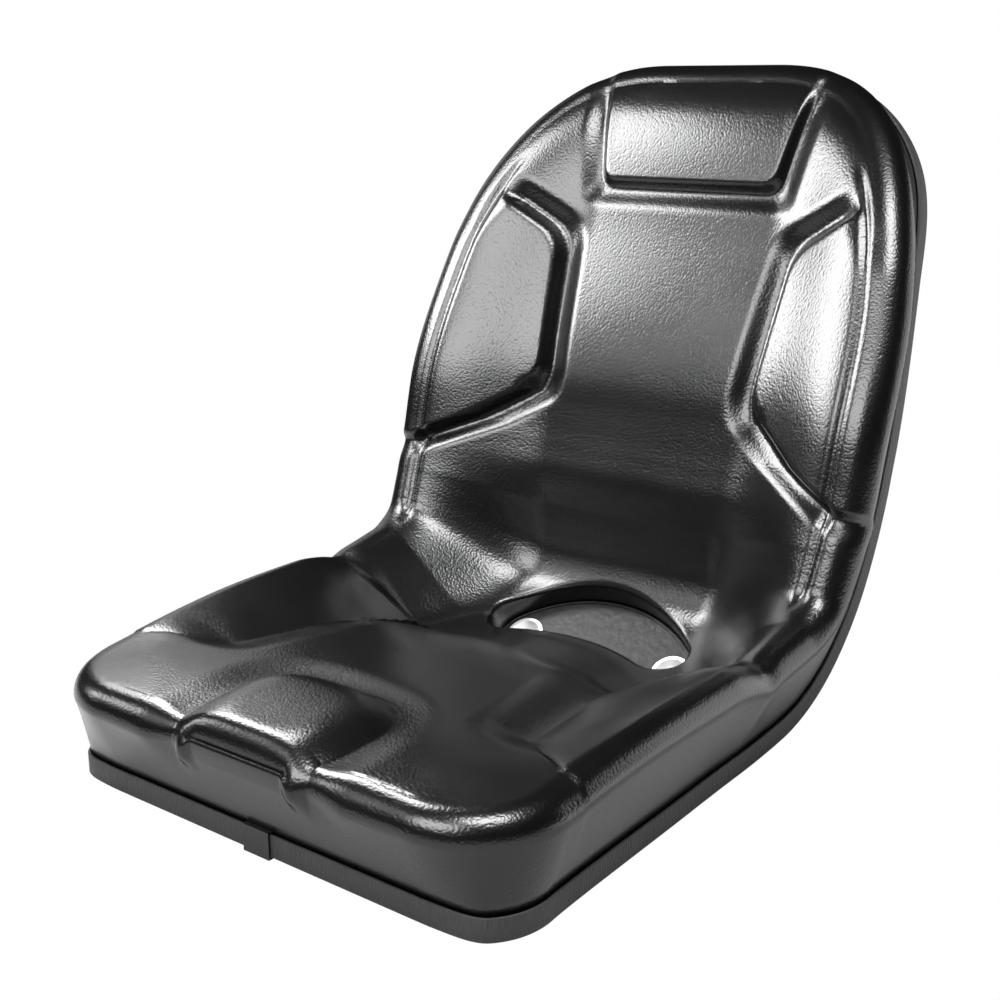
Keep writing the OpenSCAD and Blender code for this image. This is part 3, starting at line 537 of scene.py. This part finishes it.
def cushion_mesh():
    """Points and faces of the cushion: top, edge, wall, lip of the slot and underside."""
    half = outline_half()
    out = outward(half)
    rim = half - curve(EDGE, half[:, 1])[:, None] * out
    rim_t = height_at(rim[:, 0], rim[:, 1], rim[:, 0])
    x = rim[:, :1] * ACROSS
    s = rim[:, 1:] + 0 * x
    t = height_at(x, s, rim[:, :1] + 0 * x)
    edge = edge_rings(half, out, rim, rim_t, t[0])

    def surface(px, ps):
        return height_at(px, ps, np.interp(ps, rim[:, 1], rim[:, 0]))

    slot, slot_flat, foot_flat = slot_rings(surface)
    ids = np.arange(x.size).reshape(x.shape)
    ring_ids = x.size + np.arange(len(edge) * len(edge[0])).reshape(len(edge), -1)
    slot_ids = x.size + ring_ids.size + np.arange(len(slot) * len(slot[0])).reshape(len(slot), -1)
    base = half - (curve(OVERHANG, half[:, 1]) + TUCK)[:, None] * out
    faces = top_faces(ids, rim, np.stack([x.ravel(), s.ravel()], -1), slot_ids[0], slot_flat)
    faces += joined(slot_ids) + joined([border_of(ids), *ring_ids])
    faces += under_faces(ring_ids[-1], base, slot_ids[-1], foot_flat)
    points = np.concatenate([on_line(s.ravel(), x.ravel(), t.ravel()), *edge, *slot])
    return points * MM, faces


def trim_mesh():
    """Points and faces of the edge trim: its section swept round the foot of the cushion."""
    half = outline_half()
    out, over = outward(half), curve(OVERHANG, half[:, 1])
    rings = [ring(half + (leg - over)[:, None] * out, level + 0 * over) for leg, level in TRIM_SECTION]
    ids = np.arange(len(rings) * len(rings[0])).reshape(len(rings), -1)
    return np.concatenate(rings) * MM, joined([ids[0], *ids[::-1]])


def make_object(name, points, faces, sharp_angle):
    """Smooth object whose edges are sharp above an angle in degrees."""
    mesh = bpy.data.meshes.new(name)
    mesh.from_pydata([tuple(p) for p in points], [], [tuple(int(i) for i in f) for f in faces])
    mesh.validate()
    for polygon in mesh.polygons:
        polygon.use_smooth = True
    mesh.set_sharp_from_angle(angle=math.radians(sharp_angle))
    obj = bpy.data.objects.new(name, mesh)
    bpy.context.scene.collection.objects.link(obj)
    return obj


def make_cushion():
    obj = make_object("cushion_cover", *cushion_mesh(), 50)
    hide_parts("cushion")
    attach(obj, "root")
    return obj


def make_trim():
    obj = make_object("edge_trim_fine", *trim_mesh(), 40)
    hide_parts("edge_trim")
    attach(obj, "root")
    return obj


def nodes_of(material):
    """Empty node tree with a Principled shader, and that shader."""
    material.use_nodes = True
    tree = material.node_tree
    tree.nodes.clear()
    out = tree.nodes.new("ShaderNodeOutputMaterial")
    shader = tree.nodes.new("ShaderNodeBsdfPrincipled")
    tree.links.new(shader.outputs[0], out.inputs[0])
    return tree, shader


def uneven_gloss(tree, cloud, shader, low, high):
    """Roughness between low and high, after a noise node."""
    rough = tree.nodes.new("ShaderNodeMapRange")
    rough.inputs["To Min"].default_value = low
    rough.inputs["To Max"].default_value = high
    tree.links.new(cloud.outputs["Fac"], rough.inputs["Value"])
    tree.links.new(rough.outputs[0], shader.inputs["Roughness"])


GRAIN_SCALE, GRAIN_DEPTH = 480, 0.00013


def vinyl():
    """Black vinyl with a fine pebbled grain and a slightly uneven gloss."""
    material = bpy.data.materials.new("black_vinyl")
    tree, shader = nodes_of(material)
    new, link = tree.nodes.new, tree.links.new
    place = new("ShaderNodeTexCoord")
    pebbles = new("ShaderNodeTexVoronoi")
    pebbles.inputs["Scale"].default_value = GRAIN_SCALE
    link(place.outputs["Object"], pebbles.inputs["Vector"])
    dome = new("ShaderNodeMath")
    dome.operation = "POWER"
    dome.inputs[1].default_value = 2
    link(pebbles.outputs["Distance"], dome.inputs[0])
    cloud = new("ShaderNodeTexNoise")
    cloud.inputs["Scale"].default_value = 14
    cloud.inputs["Detail"].default_value = 4
    link(place.outputs["Object"], cloud.inputs["Vector"])
    uneven_gloss(tree, cloud, shader, 0.21, 0.29)
    bump = new("ShaderNodeBump")
    bump.invert = True
    bump.inputs["Strength"].default_value = 1.0
    bump.inputs["Distance"].default_value = GRAIN_DEPTH
    link(dome.outputs[0], bump.inputs["Height"])
    link(bump.outputs[0], shader.inputs["Normal"])
    shader.inputs["Base Color"].default_value = (0.0018, 0.0018, 0.002, 1)
    return material


def mottled(name, color, roughness, scale, contrast, metallic=0.0, relief=0.0, upright=1.0, specular=0.5):
    """Mottled material; relief raises its pattern, and a small upright draws it out along Z.

    The colour varies by the share contrast, and the roughness between its two values.
    """
    material = bpy.data.materials.new(name)
    tree, shader = nodes_of(material)
    new, link = tree.nodes.new, tree.links.new
    place = new("ShaderNodeTexCoord")
    stretch = new("ShaderNodeMapping")
    stretch.inputs["Scale"].default_value = (1, 1, upright)
    link(place.outputs["Object"], stretch.inputs["Vector"])
    cloud = new("ShaderNodeTexNoise")
    cloud.inputs["Scale"].default_value = scale
    cloud.inputs["Detail"].default_value = 6
    link(stretch.outputs[0], cloud.inputs["Vector"])
    if relief:
        bump = new("ShaderNodeBump")
        bump.inputs["Distance"].default_value = relief
        link(cloud.outputs["Fac"], bump.inputs["Height"])
        link(bump.outputs[0], shader.inputs["Normal"])
    mix = new("ShaderNodeMix")
    mix.data_type = "RGBA"
    link(cloud.outputs["Fac"], mix.inputs["Factor"])
    mix.inputs["A"].default_value = (*[c * (1 - contrast) for c in color], 1)
    mix.inputs["B"].default_value = (*[min(1, c * (1 + contrast)) for c in color], 1)
    link(mix.outputs["Result"], shader.inputs["Base Color"])
    uneven_gloss(tree, cloud, shader, *roughness)
    shader.inputs["Metallic"].default_value = metallic
    shader.inputs["Specular IOR Level"].default_value = specular
    return material


def paint(node, material):
    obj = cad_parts[node]
    obj.data.materials.clear()
    obj.data.materials.append(material)


# Point that the softboxes face, and their distance from it, in metres
LIT = Vector((0, 0.05, 0.25))
FAR = 2.0


def towards(side, up):
    """Direction (side, up) in radians; side 0 is the front and a quarter turn is +X."""
    return Vector((math.sin(side) * math.cos(up), -math.cos(side) * math.cos(up), math.sin(up)))


def lamp(name, place, aim, width, height, radiance):
    """Rectangular area light at place, facing along aim and hidden from the camera."""
    data = bpy.data.lights.new(name, "AREA")
    data.shape = "RECTANGLE"
    data.size, data.size_y = width, height
    data.energy = radiance * math.pi * width * height
    obj = bpy.data.objects.new(name, data)
    obj.location = place
    obj.rotation_euler = aim.to_track_quat("-Z", "Y").to_euler()
    obj.visible_camera = False
    bpy.context.scene.collection.objects.link(obj)


def softbox(name, side, up, width, height, radiance, distance=FAR):
    """Area light that faces LIT from the direction (side, up) in degrees."""
    way = towards(math.radians(side), math.radians(up))
    lamp(name, LIT + distance * way, -way, width, height, radiance)


def make_world():
    """World that the camera sees as white, and that lights the seat with a weak grey."""
    world = bpy.data.worlds.new("studio")
    bpy.context.scene.world = world
    world.use_nodes = True
    tree = world.node_tree
    tree.nodes.clear()
    new, link = tree.nodes.new, tree.links.new
    out = new("ShaderNodeOutputWorld")
    mix = new("ShaderNodeMixShader")
    weak = new("ShaderNodeBackground")
    white = new("ShaderNodeBackground")
    rays = new("ShaderNodeLightPath")
    weak.inputs["Color"].default_value = (0.015, 0.015, 0.016, 1)
    white.inputs["Color"].default_value = (1, 1, 1, 1)
    link(rays.outputs["Is Camera Ray"], mix.inputs["Fac"])
    link(weak.outputs[0], mix.inputs[1])
    link(white.outputs[0], mix.inputs[2])
    link(mix.outputs[0], out.inputs["Surface"])


def make_floor():
    """Pale floor, seen as white by the camera."""
    bpy.ops.mesh.primitive_plane_add(size=2.8, location=(0, 0.4, -0.0005))
    floor = bpy.context.object
    floor.name = "floor"
    material = bpy.data.materials.new("floor_white")
    tree, shader = nodes_of(material)
    new, link = tree.nodes.new, tree.links.new
    rays, white, mix = new("ShaderNodeLightPath"), new("ShaderNodeEmission"), new("ShaderNodeMixShader")
    shader.inputs["Base Color"].default_value = (0.4, 0.4, 0.4, 1)
    shader.inputs["Roughness"].default_value = 0.9
    link(rays.outputs["Is Camera Ray"], mix.inputs["Fac"])
    link(shader.outputs[0], mix.inputs[1])
    link(white.outputs[0], mix.inputs[2])
    link(mix.outputs[0], tree.nodes["Material Output"].inputs["Surface"])
    floor.data.materials.append(material)


# Camera: right of the front, a little above, aimed at the middle of the seat; angles in radians
CAMERA_SIDE, CAMERA_UP = 0.66094, 0.272196
CAMERA_DISTANCE, CAMERA_LENS, CAMERA_SENSOR = 1.168567, 53.46, 36
CAMERA_AIM = Vector((0, 0.26636 - MOUNT_MID * MM, 0.19054 + FOOT_LEVEL * MM))


def make_camera():
    data = bpy.data.cameras.new("camera")
    data.lens, data.sensor_width = CAMERA_LENS, CAMERA_SENSOR
    obj = bpy.data.objects.new("camera", data)
    back = towards(CAMERA_SIDE, CAMERA_UP)
    obj.location = CAMERA_AIM + CAMERA_DISTANCE * back
    obj.rotation_euler = (-back).to_track_quat("-Z", "Y").to_euler()
    bpy.context.scene.collection.objects.link(obj)
    bpy.context.scene.camera = obj


make_cushion().data.materials.append(vinyl())
make_trim().data.materials.append(
    mottled("matt_black_trim", (0.016, 0.016, 0.016), (0.4, 0.75), 600, 0.9, relief=0.0012, upright=0.25))
PAINTED = mottled(
    "mottled_black_steel", (0.012, 0.012, 0.013), (0.3, 0.6), 130, 0.9, relief=0.0008, specular=0.2)
CLIP = mottled("smooth_black_clip", (0.006, 0.006, 0.006), (0.35, 0.5), 60, 0.3)
TURNED = mottled("turned_steel", (0.72, 0.72, 0.73), (0.42, 0.58), 90, 0.15, metallic=1.0)
PLATED = mottled("plated_steel", (0.22, 0.22, 0.23), (0.25, 0.45), 120, 0.25, metallic=1.0)
OWN_MATERIAL = {
    "seat_pan": PAINTED, "trim_clip": CLIP, "cup_washer_left": TURNED, "cup_washer_right": TURNED,
}
for node_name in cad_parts:
    if node_name not in ("cushion", "edge_trim"):
        paint(node_name, OWN_MATERIAL.get(node_name, PLATED))

make_world()
make_floor()
make_camera()
softbox("front", -3, 34, 1.3, 0.85, 14)
softbox("front_left", -43, 29, 0.95, 0.7, 1.7)
softbox("left_edge", -61, 21, 0.4, 0.55, 13)
softbox("top_right", 50, 62, 1.0, 0.75, 30)
softbox("top_left", -83.7, 41.5, 0.24, 0.46, 27, 0.604)
softbox("back_left_card", -116, 17, 0.8, 1.3, 0.9)
softbox("back_right_card", 142, 4, 1.5, 1.3, 2.2)
lamp("floor_card", Vector((1.0, 0.75, 0.003)), Vector((0, 0, 1)), 1.2, 1.5, 1.5)
bpy.context.scene.view_settings.view_transform = "Standard"
